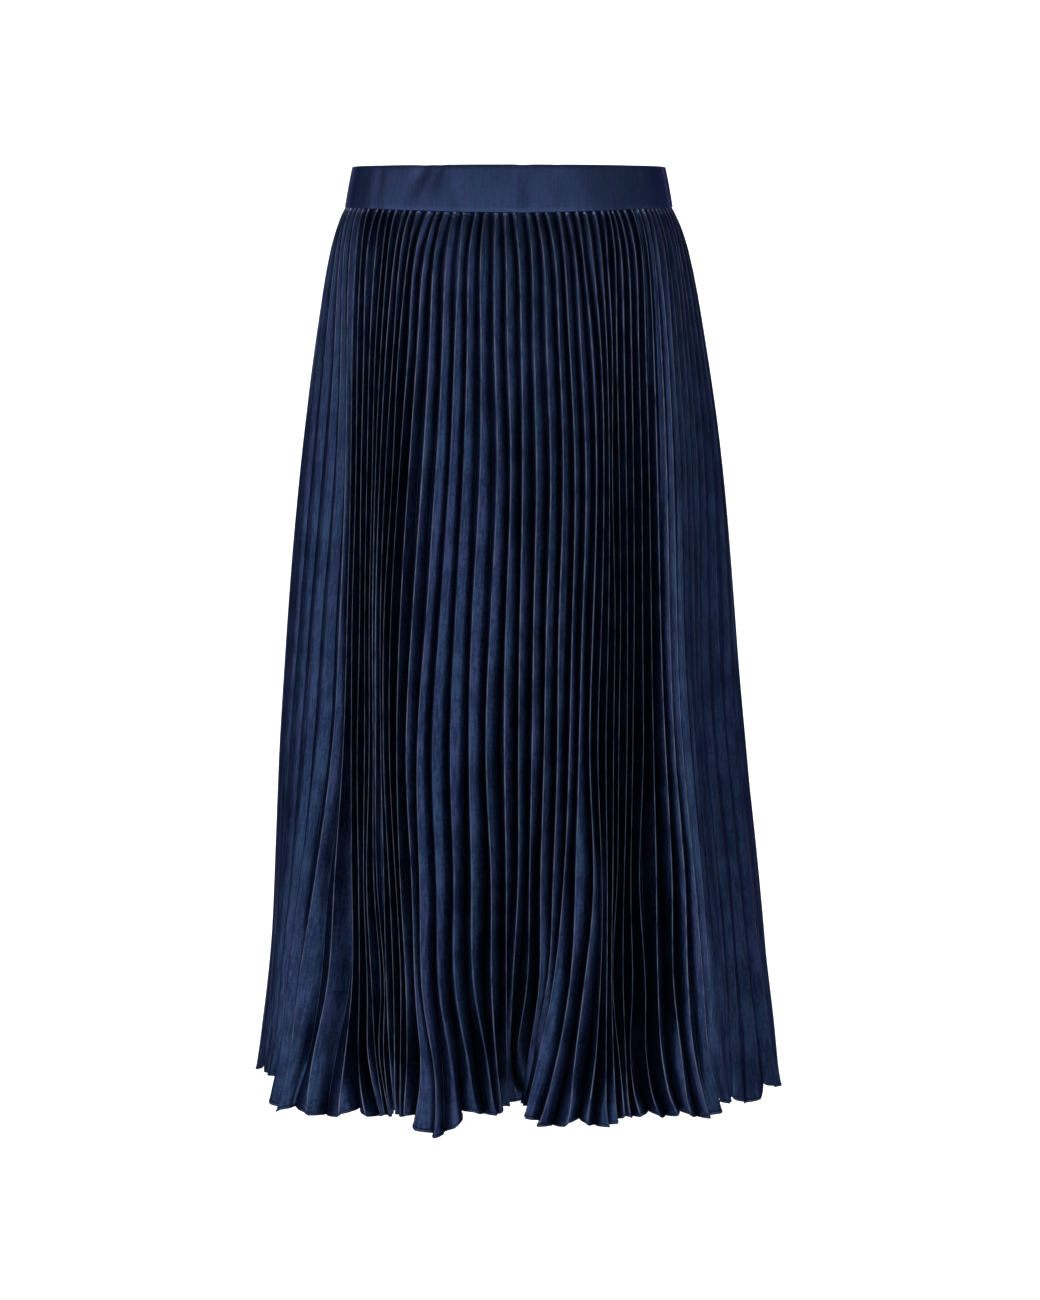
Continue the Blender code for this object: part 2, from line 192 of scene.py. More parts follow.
# The shape of the pleats from place to place. The lean is how far a valley lies past the middle
# between its two crests, as a share of half the pitch, so that one face of the pleat lies open and
# hides the other. Depth is a share of the pressed depth. Roundness is 1 for a pleat like a tube, -1
# for one with flat faces and less for hollow ones. The painted line is 1 where a pale line of painted
# highlight is drawn along the pressed crests.
LEAN_LEVELS = (0.0, 0.55, 0.85, 1.0)
DEPTH_LEVELS = (0.15, 0.55, 0.85, 1.0)
ROUND_LEVELS = (0.10, 0.35)
PAINTED_LINE_LEVELS = (0.15, 0.45)
SHAPES = (
    # region, pleat, then lean, depth, roundness and crispness at the levels above
    ("right side",           2.0, (0, 0, 0, 0),             (0.35, 0.12, 0.14, 0.22), (-1.8, -0.8), (1, 0)),
    ("right side, front",    6.0, (0, 0, 0, 0),             (0.30, 0.24, 0.34, 0.52), (-1.8, 0.2),  (1, 0)),
    ("right flute",          8.0, (0, 0, -0.1, -0.2),       (0.45, 0.40, 1.05, 1.25), (-1.5, 0.3),  (1, 0.5)),
    ("right bunch, start",   9.8, (-0.5, -0.6, -0.4, -0.2), (1.10, 1.40, 1.45, 1.50), (-0.5, -0.6), (1, 0.9)),
    ("right bunch",         13.0, (-0.5, -0.1, 0, -0.1),    (1.25, 1.45, 1.45, 1.40), (-0.5, -1.0), (1, 1)),
    ("right bunch, end",    19.6, (0, 0, 0, 0),             (1.25, 1.40, 1.50, 1.50), (0.3, -0.9),  (1, 1)),
    ("right front",         21.5, (0.1, 0.1, 0.2, 0.2),     (1.15, 1.30, 1.30, 1.30), (0.3, 0.1),   (1, 1)),
    ("right of middle",     26.0, (0.2, 0.5, 0.6, 0.6),     (1.10, 1.35, 1.35, 1.25), (0.3, 0.1),   (1, 1)),
    ("middle",              29.5, (0.3, 0.8, 0.6, 0.3),     (1.05, 1.15, 1.20, 1.20), (0.3, 0),     (1, 1)),
    ("left front",          34.0, (0.3, 0.8, 0.3, -0.4),    (1.05, 1.15, 1.25, 1.30), (0.3, 0),     (1, 1)),
    ("left bunch",          37.5, (0.5, 0.4, 0.4, 0.3),     (1.15, 1.30, 1.30, 1.30), (0, -1.0),    (1, 1)),
    ("left bunch, end",     41.3, (0.6, 0.2, 0.2, 0.3),     (1.10, 1.40, 1.35, 1.20), (0, -0.9),    (1, 1)),
    ("left of the bunch",   43.5, (0.4, 0, 0, 0.1),         (0.35, 0.70, 0.80, 0.80), (-1.2, 0),    (1, 1)),
    ("left flank",          45.8, (-0.1, 0, 0, -0.1),       (0.14, 0.15, 0.25, 0.45), (-1.8, -0.5), (1, 0.5)),
    ("left flute",          50.0, (0, 0, 0, 0),             (0.12, 0.17, 0.22, 0.35), (-1.8, -0.7), (1, 0.5)),
    ("left side",           54.0, (0, 0, 0, 0),             (0.15, 0.18, 0.18, 0.28), (-1.8, -0.9), (1, 0.3)),
    ("back, left side",     62.0, (0.2, 0.4, 0.4, 0.3),     (0.90, 0.85, 0.85, 0.85), (0.3, 0.3),   (1, 1)),
    ("back, left",          72.0, (0.2, 0.4, 0.4, 0.3),     (1.00, 1.00, 1.00, 1.00), (0.2, 0.2),   (1, 1)),
    ("back, middle",        85.0, (-0.3, -0.6, -0.6, -0.5), (1.05, 1.05, 1.05, 1.10), (0, 0),       (1, 1)),
    ("back, right",        101.0, (-0.2, -0.3, -0.3, -0.3), (0.95, 0.90, 0.90, 0.90), (0, 0.2),     (1, 1)),
)
LEAN, DEPTH, ROUND, PAINTED_LINE = 2, 3, 4, 5   # columns of the table
SPRUNG = 1.16                 # how much deeper the pleats stand than their pressed faces would reach
FACE_BULGE = 0.16             # how far every face swells, to its length
LEAN_BULGE = 0.22             # what a full lean adds on the open face
LEAN_RANGE = (-0.5, 1.0)      # leans between which that changes
HOLLOWEST = -1.8              # least roundness of a pleat
ROUND_BULGE = 0.42            # the bulge of both faces of a pleat of roundness 1
HEM_ROUNDNESS = 0.55          # how far the faces go to that bulge at the hem
HEM_FOLD = 1.3 * MM           # what the hem adds to the turn of a fold
ROUND_FOLD = 2.6 * MM         # what roundness 1 adds to the turn of a fold
SOFT_FROM = 0.15              # level at which roundness starts to soften the crests
SOFT_OVER = 0.2               # levels that this takes

# The hem hangs in rounded lobes of one to four pleats: the first pleat of each, how much lower it
# hangs, and how much its two ends rise, in mm. A lobe ends where the next starts.
LOBES = (
    (1, -2, 3), (3, -8, 3), (5, -15, 2), (8, 3, 6), (10, 0, 6), (12, 0, 4), (14, -1, 3), (17, -6, 3),
    (21, 3, 7), (24, 1, 6), (27, -2, 2), (29, -4, 3), (32, 3, 8), (35, 1, 6), (39, 0, 3), (41, 2, 5),
    (43, 5, 6), (46, -3, 5), (50, 4, 6), (52, 0, 5), (55, -3, 5), (58, 2, 6), (61, -2, 4), (63, 3, 6),
    (67, -2, 4), (69, 2, 6), (72, -3, 5), (75, 1, 4), (77, -2, 5), (80, 3, 7), (84, -1, 5), (87, -3, 4),
    (89, 2, 6), (92, -2, 5), (95, 3, 6), (98, -2, 3), (100, 1, 5), (103, 4, 7), (106, -2, 4), (109, 1, 6),
)

LOBE_ARCH = 1.3               # the rise across a lobe: a part like an arch
LOBE_STEEP = 0.97             # that ends almost upright
LOBE_BOW = 0.4                # and a part that is a plain bow

rng = np.random.default_rng(56)


def wander(count, spread=1):
    """Random smooth numbers, about -1 to 1: one row for each pleat, one column for each drift knot.

    spread is how many neighbouring pleats move together.
    """
    table = rng.uniform(-1, 1, (count, len(DRIFT_KNOTS)))
    window = np.hanning(2 * spread + 1)
    window = window / np.sqrt((window ** 2).sum())
    padded = np.concatenate([table[-spread:], table, table[:spread]])
    rolled = np.stack([padded[i:i + count] for i in range(2 * spread + 1)])
    return np.tensordot(window, rolled, axes=1)


crest_wander = wander(PLEATS) + 0.9 * wander(PLEATS, 3)
crest_step = wander(PLEATS)
depth_wander = wander(PLEATS, 2)
face_bow = wander(2 * PLEATS)
lean_wander = wander(PLEATS, 2)
hem_flick = wander(PLEATS, 3)[:, 0]
hem_kick = wander(PLEATS, 2)[:, 0]
hem_curl = wander(PLEATS, 2)[:, 0]


def by_pleat(column):
    """A row of values for each pleat, from this column of the shape table."""
    held = [shape[column] for shape in SHAPES]
    return right_round([shape[1] for shape in SHAPES], held, np.arange(1, PLEATS + 1))


def leaning(levels):
    """The lean of each pleat's valley at these levels, with a little wander."""
    varied = LEAN_VARIES * through(DRIFT_KNOTS, lean_wander.T, levels).T
    return through(LEAN_LEVELS, by_pleat(LEAN).T, levels).T + varied


def near_hem(levels):
    """0 above the hem's reach, growing to 1 at the hem."""
    return np.clip((levels - 1 + HEM_REACH) / HEM_REACH, 0, 1)


def roundness(levels):
    """The roundness of each pleat at these levels, in a straight line between ROUND_LEVELS."""
    table = np.clip(by_pleat(ROUND), HOLLOWEST, 1)
    return np.stack([np.interp(levels, ROUND_LEVELS, pleat) for pleat in table])


def softened(levels):
    """How far roundness has taken the press out of a crest: none high up, where all stay sharp."""
    return np.clip(roundness(levels), 0, 1) * np.clip((levels - SOFT_FROM) / SOFT_OVER, 0, 1)[None, :]


def lobe_places(pleats):
    """For each pleat number: its place across its lobe, -1 to 1, and how low and how round that hangs."""
    first, lower, rise = np.array(LOBES).T
    start = np.append(first, PLEATS + 1) - 0.5
    place = np.mod(pleats - 0.5, PLEATS) + 0.5
    which = np.searchsorted(start, place, side="right") - 1
    across = 2 * (place - start[which]) / np.diff(start)[which] - 1
    return across, MM * lower[which], MM * rise[which]


def pleated_cloth(levels):
    """Every fold of the whole skirt at these levels: crests and valleys, as pleats x levels x (x, y, z).

    Crest k stands on the crest line. The valley after it lies inside the line, half way to the next
    crest but for its lean. Its depth is the square root of face squared less half the pitch squared,
    times the shape table's share.
    """
    numbers = np.arange(1, PLEATS + 1)
    crest = crest_line(numbers, levels)
    between = crest_line(numbers + 0.5, levels)

    # The drift of each crest, along the line and across it, and the flick and curl of the hem.
    amount = DRIFT_TOP * np.exp(-levels / DRIFT_TOP_DROP) + DRIFT_MIDDLE
    amount = (amount + (DRIFT_HEM - DRIFT_MIDDLE) * levels ** DRIFT_GROWTH)[None, :]
    aside = amount * through(DRIFT_KNOTS, crest_wander.T, levels).T
    out = DRIFT_OUT * amount * through(DRIFT_KNOTS, crest_step.T, levels).T
    flicked = near_hem(levels) ** 2
    aside += FLICK * hem_flick[:, None] * flicked[None, :]
    curled = np.clip((levels - 1 + CURL_REACH) / CURL_REACH, 0, 1) ** 2
    aside += CURL * hem_curl[:, None] * curled[None, :]
    across, _, _ = lobe_places(numbers)
    kick = KICK * hem_kick + LOBE_KICK * (1 - across ** 2)
    out += kick[:, None] * flicked[None, :]
    out -= DRAWN_IN * np.exp(-levels / DRAWN_DROP)[None, :]
    tangent = unit(np.roll(crest, -1, axis=0)[..., :2] - np.roll(crest, 1, axis=0)[..., :2])
    outward = np.stack([-tangent[..., 1], tangent[..., 0]], axis=-1)
    shift = tangent * aside[..., None] + outward * out[..., None]
    crest[..., :2] += shift
    between[..., :2] += (shift + np.roll(shift, -1, axis=0)) / 2

    along = np.roll(crest, -1, axis=0)[..., :2] - crest[..., :2]
    pitch = np.linalg.norm(along, axis=-1)
    face = (FACE_WIDTH_TOP + (FACE_WIDTH_HEM - FACE_WIDTH_TOP) * levels)[None, :]
    depth = np.sqrt(np.clip(face ** 2 - (pitch / 2) ** 2, 0, None))
    depth = np.clip(depth, SHALLOWEST * face, DEEPEST * face)
    share = through(DEPTH_LEVELS, by_pleat(DEPTH).T, np.maximum(levels, DEPTH_LEVELS[0])).T
    depth = depth * SPRUNG * share * (1 + DEPTH_VARIES * through(DRIFT_KNOTS, depth_wander.T, levels).T)
    heading = along / pitch[..., None]
    before = np.roll(heading, 1, axis=0)
    cross = before[..., 1] * heading[..., 0] - before[..., 0] * heading[..., 1]
    turn = np.arctan2(cross, (before * heading).sum(axis=-1))
    radius = (np.roll(pitch, 1, axis=0) + pitch) / 2 / np.maximum(turn, LEAST_TURN)
    depth = np.minimum(depth, CROWDING * np.minimum(radius, np.roll(radius, -1, axis=0)))
    opened = np.clip(levels * (SEAM_LEVEL - HEM_LEVEL) / SPRING_LENGTH, 0, 1)
    depth *= (PRESSED + (1 - PRESSED) * opened * opened * (3 - 2 * opened))[None, :]
    past = leaning(levels) * pitch / 2
    valley = between.copy()
    valley[..., 0] += heading[..., 1] * depth + heading[..., 0] * past
    valley[..., 1] += heading[..., 1] * past - heading[..., 0] * depth

    seam = crest_line(np.arange(2 * PLEATS) / 2 + 1, [0.0])[:, 0, 1]
    top = waist_seam_height(seam)
    placed = []
    for line, start in ((crest, top[0::2, None]), (valley, top[1::2, None])):
        foot = HEM_LEVEL - line[..., 2]
        height = start + levels[None, :] * (foot - start)
        placed.append(np.stack([line[..., 0], -line[..., 1], height], axis=-1))
    return placed


# Where the columns of a pleat stand: the share of the turn of a fold that each has been through
# is 0.5 at a fold's middle, and 1 where the face starts.
COLUMNS = 12
AROUND = PLEATS * COLUMNS     # columns right round
PART_TURN = 0.8
PART_PLACE = 0.6              # how far down the flat cloth that column lies, to a whole turn
FACE_STOPS = (1 / 3, 2 / 3)

# Rows, closer together under the band and towards the hem
ROWS = np.concatenate([
    np.linspace(0, 0.05, 12)[:-1],
    np.linspace(0.05, 0.9, 36)[:-1],
    np.linspace(0.9, 1.0, 20),
])


def cloth_grid():
    """The whole cloth as rows x columns x (x, y, z), COLUMNS to a pleat, starting on crest 1.

    A fold is the quadratic curve (1 - t)^2 * back + t^2 * ahead from its corner, where back and
    ahead run along the two faces by the fold's radius. A face is a quadratic curve as well: its
    middle handle stands off the straight face by a share of its length, more on the open face.
    """
    crest, valley = pleated_cloth(ROWS)
    following = np.roll(crest, -1, axis=0)
    rounded = roundness(ROWS)
    relaxed = near_hem(ROWS)[None, :] ** 1.5
    round_crest = (FOLD_RADIUS + ROUND_FOLD * softened(ROWS) + HEM_FOLD * relaxed)[..., None]
    round_valley = (VALLEY_RADIUS + HEM_FOLD * relaxed)[..., None]
    bow = (BOW_TOP + (BOW_HEM - BOW_TOP) * ROWS ** 2)[None, :] * through(DRIFT_KNOTS, face_bow.T, ROWS).T
    lean = leaning(ROWS)
    swell = FACE_BULGE + LEAN_BULGE * np.stack([np.clip(lean, *LEAN_RANGE), np.clip(-lean, *LEAN_RANGE)])
    rounded = rounded + (1 - rounded) * HEM_ROUNDNESS * relaxed
    swell[0] += (ROUND_BULGE - swell[0]) * rounded
    swell[1] += (ROUND_BULGE - swell[1]) * np.roll(rounded, -1, axis=0)

    def handle(start, end, share, amount):
        """Half way from start to end, then to the side by share of the length and twice the amount."""
        run = end - start
        length = np.linalg.norm(run, axis=-1)
        side = np.stack([run[..., 1], -run[..., 0], np.zeros_like(length)], axis=-1) / length[..., None]
        return start + 0.5 * run + side * (share * length + 2 * amount)[..., None]

    falling = handle(crest, valley, swell[0], bow[0::2])
    rising = handle(valley, following, swell[1], bow[1::2])

    def along(start, middle, end, t):
        """The point of a face's curve where its share t has been run through."""
        return (1 - t) ** 2 * start + 2 * t * (1 - t) * middle + t * t * end

    down = unit(falling - crest)
    sunk = unit(valley - falling)
    up = unit(rising - valley)
    top = unit(following - rising)
    back = np.roll(top, 1, axis=0)
    following_down = np.roll(down, -1, axis=0)

    def turn(share, corner, reach, arriving, leaving):
        """The point of a fold's curve where its share has been run through."""
        return corner + reach * (-((1 - share) ** 2) * arriving + share ** 2 * leaving)

    columns = [
        *(turn(share, crest, round_crest, back, down) for share in (0.5, PART_TURN, 1.0)),
        *(along(crest, falling, valley, t) for t in FACE_STOPS),
        *(turn(share, valley, round_valley, sunk, up) for share in (0.0, 0.5, 1.0)),
        *(along(valley, rising, following, t) for t in FACE_STOPS),
        *(turn(share, following, round_crest, top, following_down) for share in (0.0, 1 - PART_TURN)),
    ]
    grid = np.stack(columns, axis=1).reshape(AROUND, len(ROWS), 3)
    across, lower, rise = lobe_places(1 + np.arange(AROUND) / COLUMNS)
    arch = LOBE_ARCH * (1 - np.sqrt(1 - LOBE_STEEP * across ** 2)) + LOBE_BOW * across ** 2
    grid[..., 2] += (rise * arch - lower)[:, None] * relaxed
    return grid.transpose(1, 0, 2)


CUT_LENGTH = SEAM_LEVEL - HEM_LEVEL
ANGLE_OF_PLEAT = 2 * (FACE_WIDTH_HEM - FACE_WIDTH_TOP) / CUT_LENGTH
WAIST_RADIUS = 2 * FACE_WIDTH_TOP / ANGLE_OF_PLEAT


def flat_places(first, count):
    """Where each column and row lies on the flat cut: along its middle arc, and out from its centre.

    Each pleat takes an equal angle, and the radius grows from the waist arc to the hem arc.
    """
    face = FACE_WIDTH_TOP + (FACE_WIDTH_HEM - FACE_WIDTH_TOP) * ROWS
    turned = FOLD_RADIUS / face
    none = np.zeros_like(face)
    part = turned * PART_PLACE
    third, two_thirds = FACE_STOPS
    share = np.stack([
        none, part, turned, none + third, none + two_thirds, 1 - turned,
        none + 1, 1 + turned, none + 1 + third, none + 1 + two_thirds, 2 - turned, 2 - part,
    ], axis=1) / 2
    column = np.arange(first, first + count)
    pleat = column // COLUMNS + share[:, column % COLUMNS]
    middle_pleat = (first + count / 2) / COLUMNS
    angle = (pleat - middle_pleat) * ANGLE_OF_PLEAT
    radius = WAIST_RADIUS + ROWS[:, None] * CUT_LENGTH
    arc = angle * (WAIST_RADIUS + CUT_LENGTH / 2)
    return np.stack(np.broadcast_arrays(arc, radius), axis=-1)


LINE_LOSS = 2.5               # how fast a softened crest loses its painted highlight line


def fold_places(cloth):
    """How far each point lies from the nearest crest, along its row, and how sharp that crest is, 0 to 1,
    which sets the strength of the painted highlight line along it.
    """
    step = np.linalg.norm(np.roll(cloth, -1, axis=1) - cloth, axis=2).reshape(len(ROWS), PLEATS, COLUMNS)
    after = np.cumsum(step, axis=2)
    from_crest = np.concatenate([np.zeros_like(after[..., :1]), after[..., :-1]], axis=2)
    near = np.minimum(from_crest, after[..., -1:] - from_crest)
    painted_line = np.stack([np.interp(ROWS, PAINTED_LINE_LEVELS, pleat) for pleat in by_pleat(PAINTED_LINE)], axis=1)
    # The strength of the painted crest highlight: the shape table's share, fading where roundness softens the
    # crest.
    sharp = painted_line * np.clip(1 - LINE_LOSS * softened(ROWS), 0, 1).T
    sharp = np.clip(sharp, 0, 1)[..., None] + np.zeros(COLUMNS)
    return np.stack([near, sharp], axis=-1).reshape(len(ROWS), AROUND, 2)


def grid_mesh(name, grid, tube=False):
    """A mesh of quads on rows x columns of points.

    It faces out where columns run anticlockwise and rows down. In a tube the columns close up right
    round, and the first and last rows are capped.
    """
    rows, columns = grid.shape[:2]
    index = np.arange(rows * columns).reshape(rows, columns)
    if tube:
        index = np.concatenate([index, index[:, :1]], axis=1)
    quads = np.stack([index[1:, :-1], index[1:, 1:], index[:-1, 1:], index[:-1, :-1]], axis=-1)
    corners = quads.ravel()
    starts = np.arange(0, quads.size, 4)
    if tube:
        starts = np.append(starts, (quads.size, quads.size + columns))
        corners = np.concatenate([corners, index[0, :-1], index[-1, -2::-1]])
    mesh = bpy.data.meshes.new(name)
    mesh.vertices.add(rows * columns)
    mesh.vertices.foreach_set("co", grid.astype(np.float32).ravel())
    mesh.loops.add(len(corners))
    mesh.loops.foreach_set("vertex_index", corners.astype(np.int32))
    mesh.polygons.add(len(starts))
    mesh.polygons.foreach_set("loop_start", starts.astype(np.int32))
    mesh.polygons.foreach_set("use_smooth", np.ones(len(starts), bool))
    mesh.update(calc_edges=True)
    made = bpy.data.objects.new(name, mesh)
    bpy.context.scene.collection.objects.link(made)
    return made


def lay_pattern(piece, name, places):
    """A UV map that gives each point of the piece's grid its two numbers in places."""
    corner = np.zeros(len(piece.data.loops), np.int32)
    piece.data.loops.foreach_get("vertex_index", corner)
    layer = piece.data.uv_layers.new(name=name)
    layer.data.foreach_set("uv", places.reshape(-1, 2)[corner].astype(np.float32).ravel())


def give_thickness(piece, thickness):
    """A wall half of the thickness to each side of the piece's surface."""
    solid = piece.modifiers.new("thickness", "SOLIDIFY")
    solid.thickness = thickness
    solid.offset = 0
    solid.use_even_offset = False


class Wire:
    """One output of a shader node. Arithmetic on wires and numbers adds Math nodes."""

    def __init__(self, tree, output=None):
        self.tree = tree
        self.output = output

    def node(self, kind, settings=None, sockets=None, out=0):
        """A new node: its type, its settings, then the values or wires of its sockets."""
        made = self.tree.nodes.new(kind)
        for name, value in (settings or {}).items():
            setattr(made, name, value)
        for name, value in (sockets or {}).items():
            if isinstance(value, Wire):
                self.tree.links.new(value.output, made.inputs[name])
            else:
                made.inputs[name].default_value = value
        return Wire(self.tree, made.outputs[out])

    def maths(self, operation, *others):
        """This wire, and any others, through one Math node."""
        return self.node("ShaderNodeMath", {"operation": operation}, dict(enumerate((self, *others))))

    def __add__(self, other):
        return self.maths("ADD", other)

    __radd__ = __add__

    def __sub__(self, other):
        return self.maths("SUBTRACT", other)

    def __rsub__(self, other):
        return self.node("ShaderNodeMath", {"operation": "SUBTRACT"}, {0: other, 1: self})

    def __mul__(self, other):
        return self.maths("MULTIPLY", other)

    __rmul__ = __mul__

    def __truediv__(self, other):
        return self.maths("DIVIDE", other)

    def __rtruediv__(self, other):
        return self.node("ShaderNodeMath", {"operation": "DIVIDE"}, {0: other, 1: self})

    def smooth(self, low, high):
        """0 below low, 1 above high, and a smooth step between; low over high turns it round."""
        sockets = {"Value": self, "From Min": low, "From Max": high}
        return self.node("ShaderNodeMapRange", {"interpolation_type": "SMOOTHSTEP"}, sockets)

    def mixed(self, first, second):
        """The colour that is first where this wire is 0 and second where it is 1."""
        ends = {6: first if isinstance(first, Wire) else (*first, 1),
                7: second if isinstance(second, Wire) else (*second, 1)}
        return self.node("ShaderNodeMix", {"data_type": "RGBA"}, {0: self, **ends}, out=2)

    def stretched(self, x, y, z=1.0):
        """This vector with each part multiplied."""
        return self.node("ShaderNodeVectorMath", {"operation": "MULTIPLY"}, {0: self, 1: (x, y, z)})

    def part(self, index):
        """The x, y or z of this vector."""
        return self.node("ShaderNodeSeparateXYZ", {}, {0: self}, out=index)

    def noise(self, scale, detail=2.0, roughness=0.5):
        """Smooth noise on this vector, from 0 to 1."""
        sockets = {"Vector": self, "Scale": scale, "Detail": detail, "Roughness": roughness}
        return self.node("ShaderNodeTexNoise", {}, sockets)

    def pattern(self, name):
        """The places of this name that lay_pattern gave the piece."""
        return self.node("ShaderNodeUVMap", {"uv_map": name})

    def feed(self, shader, name):
        """This wire run into a socket of the shader."""
        self.tree.links.new(self.output, shader.inputs[name])


def new_material(name):
    """A material, its shader, and a wire that starts its nodes."""
    made = bpy.data.materials.new(name)
    made.use_nodes = True
    return made, made.node_tree.nodes["Principled BSDF"], Wire(made.node_tree)


# The grain of the satin: repeats a metre along the weft and down the warp
CLOUD = 28.0
STREAK = (800.0, 60.0)
SLUB = (190.0, 1000.0)
FLECK = (420.0, 300.0)
TINGE = (45.0, 9.0)
# The next grain is for the noise that breaks up the painted crest highlight.
HIGHLIGHT_BREAKUP = (60.0, 60.0)
SPECK = (420.0, 420.0)
TWILL = 900.0                 # the diagonal wave turns by ten times this many radians a metre
VIOLET = (1.08, 0.96, 1.03)   # what each part of the lighter colour is multiplied by, from place
TEAL = (0.80, 1.03, 0.94)     # to place
CREST_LINE = (0.66 * MM, 0.24 * MM)   # where the painted highlight line along a crest ends, and is full
SEAM_BAND = (8.0 * MM, 1.5 * MM)      # the same for the painted highlight specks on the crests below the waist seam
SEAM_HIGHLIGHT_WIDTH = (2.2 * MM, 0.6 * MM)  # and across a crest, for those painted highlight specks


def satin(name, deep, lit, crest_highlight_colour=None, seam_highlight_colour=None, crushed=0.4):
    """Slub satin: deep and lit are its darkest and lightest colours, and crushed is how rough it lies.

    The slubs are short flecks along the weft, over a soft cloud of shade. Where a crest highlight
    colour is given, a painted highlight about a millimetre wide is drawn in it along the pressed folds,
    broken up by noise, and where the pleats are stitched down their crests have painted highlight
    specks of the seam highlight colour.
    """
    made, shader, start = new_material(name)
    cloth = start.pattern("cloth")
    cloud = cloth.noise(CLOUD, 3.0)
    streak = cloth.stretched(*STREAK).noise(1.0, 2.0)
    slub = cloth.stretched(*SLUB).noise(1.0, 2.0, 0.6)
    fleck = cloth.stretched(*FLECK).noise(1.0, 3.0, 0.7)
    shade = cloud * 0.28 + streak * 0.36 + slub * 0.08 + fleck * 0.28
    tinge = cloth.stretched(*TINGE).noise(1.0, 1.0).smooth(0.35, 0.65)
    teal, violet = (tuple(part * by for part, by in zip(lit, tint)) for tint in (TEAL, VIOLET))
    colour = shade.smooth(0.43, 0.58).mixed(deep, tinge.mixed(teal, violet))
    rough = 0.27 + cloud * 0.12 + fleck * 0.08
    # Painted highlight: a pale line along each pressed crest, broken up by noise.
    if crest_highlight_colour:
        fold = start.pattern("fold")
        from_crest, sharp = fold.part(0), fold.part(1)
        highlight_breakup = cloth.stretched(*HIGHLIGHT_BREAKUP).noise(1.0).smooth(0.2, 0.7)
        crest_highlight = from_crest.smooth(*CREST_LINE) * highlight_breakup * sharp
        colour = crest_highlight.mixed(colour, crest_highlight_colour)
        # Painted highlight: pale specks on the crests just below the waist seam, where the pleat tops catch
        # the light.
        at_seam = (cloth.part(1) - WAIST_RADIUS).smooth(*SEAM_BAND)
        speck = cloth.stretched(*SPECK).noise(1.0, 1.0).smooth(0.42, 0.60)
        seam_highlight = at_seam * speck * from_crest.smooth(*SEAM_HIGHLIGHT_WIDTH)
        colour = seam_highlight.mixed(colour, seam_highlight_colour)
    weave = cloth.node(
        "ShaderNodeTexWave", {"wave_type": "BANDS", "bands_direction": "DIAGONAL"},
        {"Vector": cloth, "Scale": TWILL, "Distortion": 1.5, "Detail": 1.0, "Detail Scale": 2.0}, out=1)
    relief = slub * 0.35 + fleck * 0.5 + streak * 0.3 + weave * 0.03
    bump = start.node("ShaderNodeBump", {}, {"Strength": crushed, "Distance": 0.5 * MM, "Height": relief})
    colour.feed(shader, "Base Color")
    rough.feed(shader, "Roughness")
    bump.feed(shader, "Normal")
    shader.inputs["Metallic"].default_value = 0.9
    shader.inputs["Specular Tint"].default_value = (0.08, 0.12, 0.3, 1)
    return made


# The last two colours are the painted crest highlight and the painted highlight specks below the waist seam.
pleated_satin = satin("pleated_satin", (0.012, 0.022, 0.061), (0.032, 0.052, 0.127),
                      (0.120, 0.130, 0.195), (0.17, 0.20, 0.33))

whole_cloth = cloth_grid()
folds = fold_places(whole_cloth)
SEAM_COLUMN = 8               # of a pleat, on the face that rises to the next crest
SEAM_TURN_IN = 1.2 * MM       # how far a panel's side edges turn in


def add_panel(name, node, first_pleat, pleats):
    """The panel between the seams that lie just before first_pleat and just after the last pleat."""
    first = COLUMNS * (first_pleat - 2) + SEAM_COLUMN
    count = COLUMNS * pleats + 1
    columns = np.arange(first, first + count) % AROUND
    grid = whole_cloth[:, columns].copy()
    # Each side edge turns in by a little where it is sewn.
    for edge, beside in ((0, 1), (-1, -2)):
        along = unit(grid[:, beside] - grid[:, edge])
        side = 1 if edge == 0 else -1
        inward = side * np.stack([-along[:, 1], along[:, 0], 0 * along[:, 0]], axis=1)
        grid[:, edge] += inward * SEAM_TURN_IN
    # The top row runs up inside the band, where the stitching holds the pleats flat.
    oval = crest_line(1 + columns / COLUMNS, [0.0])[:, 0, :2]
    oval -= unit(oval) * DRAWN_IN
    raised = grid[:1].copy()
    raised[0, :, :2] = oval * (1, -1)
    raised[..., 2] += TUCKED
    grid = np.concatenate([raised, grid])
    places = flat_places(first + COLUMNS, count)
    piece = grid_mesh(name, grid)
    lay_pattern(piece, "cloth", np.concatenate([places[:1], places]))
    # The fold map holds the distance to the crest and the strength of the painted crest highlight.
    lay_pattern(piece, "fold", np.concatenate([folds[:1], folds])[:, columns])
    give_thickness(piece, CLOTH)
    piece.data.materials.append(pleated_satin)
    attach(piece, "root")
    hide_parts(node)
    return piece


front_panel = add_panel("front_panel", "skirt_front", 1, 56)
back_panel = add_panel("back_panel", "skirt_back", 57, 56)


# -----------------------------------------------------------------------
# Waistband
#
# One strip of the same satin, plain, folded lengthways over stiffening, with the pleats sewn in
# between its two layers. Its ends meet over the zip at the wearer's left side seam.
# -----------------------------------------------------------------------

BAND_HEIGHT = 34.8 * MM
BAND_THICKNESS = 2.2 * MM
BAND_TAPER = 0.955            # the top oval over the bottom oval
BAND_SWELL = 0.3 * MM         # how far its face swells half way up
BAND_EDGE = 0.9 * MM          # height taken up by the turn of each long edge
BAND_GIRTH = 760.0 * MM       # length of the strip, with the lap at its ends
BAND_STATIONS = 561
BAND_OPENING = 0.14           # half of the slit between its ends, in pleats
PUCKER = 0.07 * MM            # ripple of the lower edge over the pleats
PUCKER_REACH = 0.10           # share of the height in which that dies away
END_LENGTH = 0.09             # length of the soft turn at each end, in pleats
END_DRAW = (0.975, 0.55)      # what it leaves of the height and of the thickness

